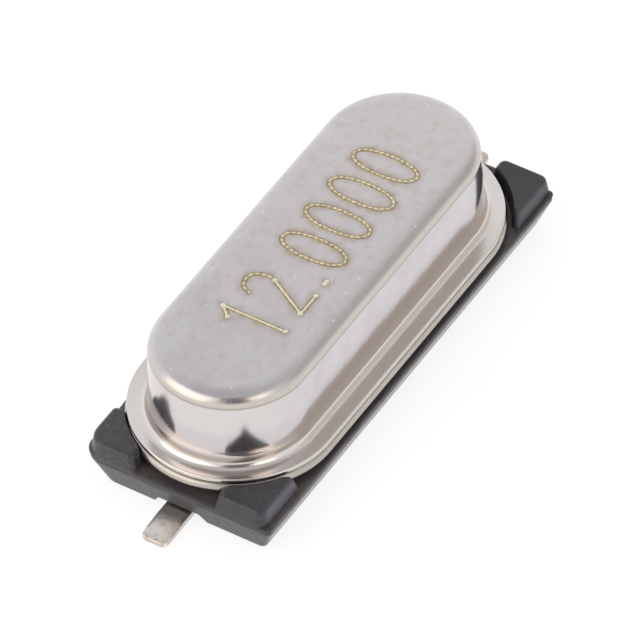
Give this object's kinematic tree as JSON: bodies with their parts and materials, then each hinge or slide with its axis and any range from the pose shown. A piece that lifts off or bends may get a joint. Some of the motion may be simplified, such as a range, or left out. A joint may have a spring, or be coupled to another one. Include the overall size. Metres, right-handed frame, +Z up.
{
  "type": "quartz crystal oscillator unit",
  "caption": "Surface-mount quartz crystal in a low round-ended metal can, on a moulded insulator with flattened solder leads; sets a circuit's clock frequency.",
  "frame": {"origin": "middle of the seating plane, under the centre of the can", "axes": "+X along the length from one lead to the other, +Y across the width, +Z up through the can's top"},
  "size_m": [0.0132, 0.0046, 0.0032],
  "materials": {
    "nickel_can": "nickel-plated drawn sheet, polished walls and satin top",
    "header_steel": "nickel-plated pressed steel",
    "seal_glass": "fused dark green-blue sealing glass",
    "tinned_lead": "dull tin plating, coined",
    "clip_bronze": "rolled spring strip",
    "quartz": "lapped quartz",
    "silver_film": "vacuum-deposited silver",
    "silver_adhesive": "cured silver-filled adhesive",
    "moulded_insulator": "moulded charcoal thermoplastic, soft sheen"
  },
  "bodies": {
    "root": {"insulator": "moulded_insulator", "header": "header_steel", "glass_seal_left": "seal_glass", "glass_seal_right": "seal_glass", "lead_left": "tinned_lead", "lead_right": "tinned_lead", "spring_clip_left": "clip_bronze", "spring_clip_right": "clip_bronze", "quartz_blank": "quartz", "electrode_upper": "silver_film", "electrode_lower": "silver_film", "adhesive_left": "silver_adhesive", "adhesive_right": "silver_adhesive", "can": "nickel_can"}
  },
  "joints": []
}
